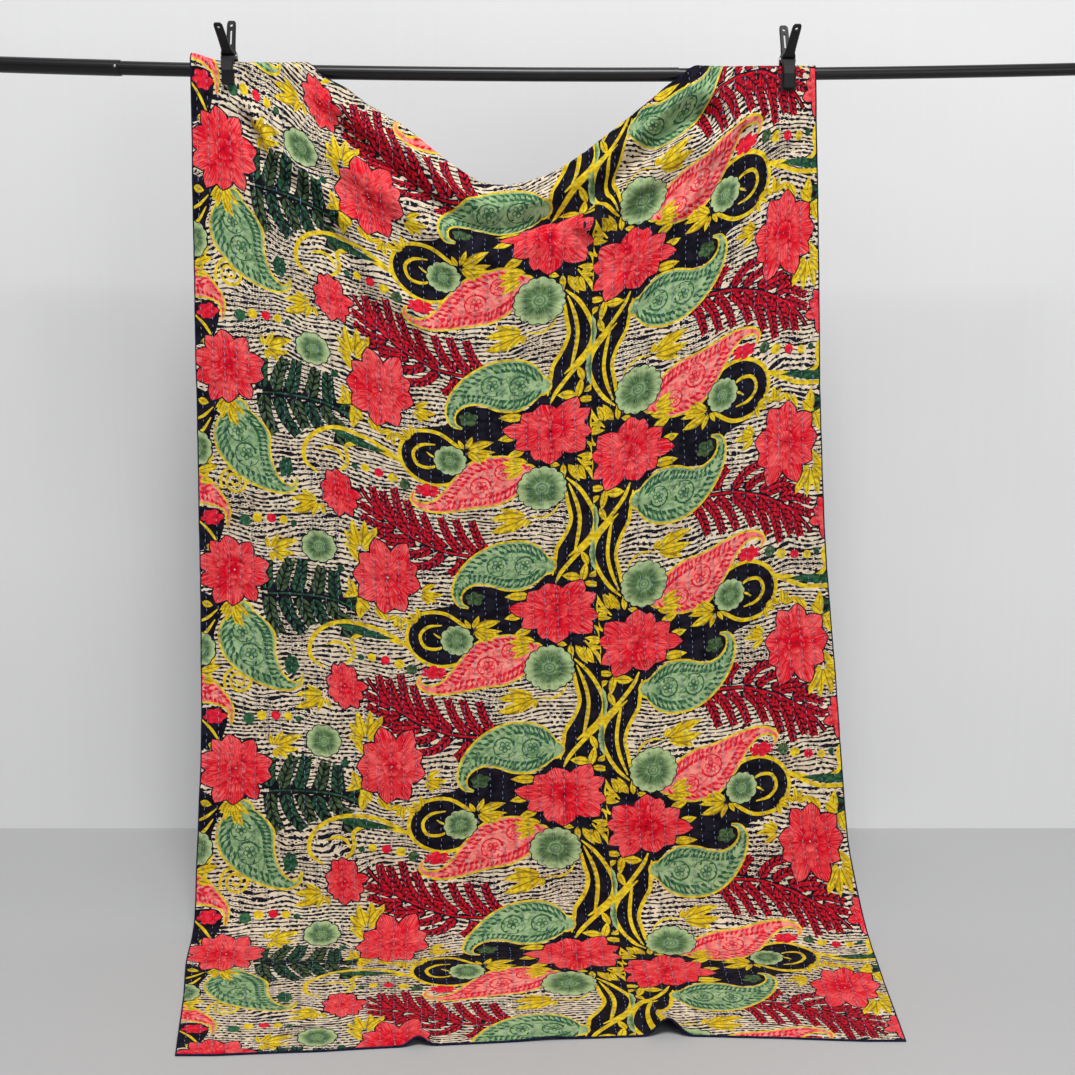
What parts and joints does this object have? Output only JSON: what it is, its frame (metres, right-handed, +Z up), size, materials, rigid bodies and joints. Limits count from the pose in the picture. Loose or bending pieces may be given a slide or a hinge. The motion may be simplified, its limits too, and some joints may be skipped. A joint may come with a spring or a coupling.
{
  "type": "kantha quilt hung on a clamped telescoping rod",
  "caption": "Printed cotton kantha quilt hung face on from a slim telescoping rod by spring clamps, its top slipped down in the middle and its foot lying on the floor.",
  "frame": {"origin": "centre of the bounding box, on the floor that the quilt's foot lies on", "axes": "+X along the rod to the viewer's right, -Y towards the viewer and the printed face, +Z up"},
  "size_m": [2.32, 0.6759, 1.8857],
  "materials": {
    "printed_cotton": "matte printed cotton, running stitched",
    "black_painted_steel": "satin black paint",
    "black_nylon": "moulded, semi matt",
    "black_rubber": "matt",
    "steel_pin": "bright"
  },
  "bodies": {
    "root": {"quilt": "printed_cotton", "rod_left_section": "black_painted_steel", "rod_middle_section": "black_painted_steel", "rod_right_section": "black_painted_steel", "clamp_left_front_lever": "black_nylon", "clamp_left_front_pad": "black_rubber", "clamp_left_back_lever": "black_nylon", "clamp_left_back_pad": "black_rubber", "clamp_left_pivot_pin": "steel_pin", "clamp_right_front_lever": "black_nylon", "clamp_right_front_pad": "black_rubber", "clamp_right_back_lever": "black_nylon", "clamp_right_back_pad": "black_rubber", "clamp_right_pivot_pin": "steel_pin"}
  },
  "joints": []
}
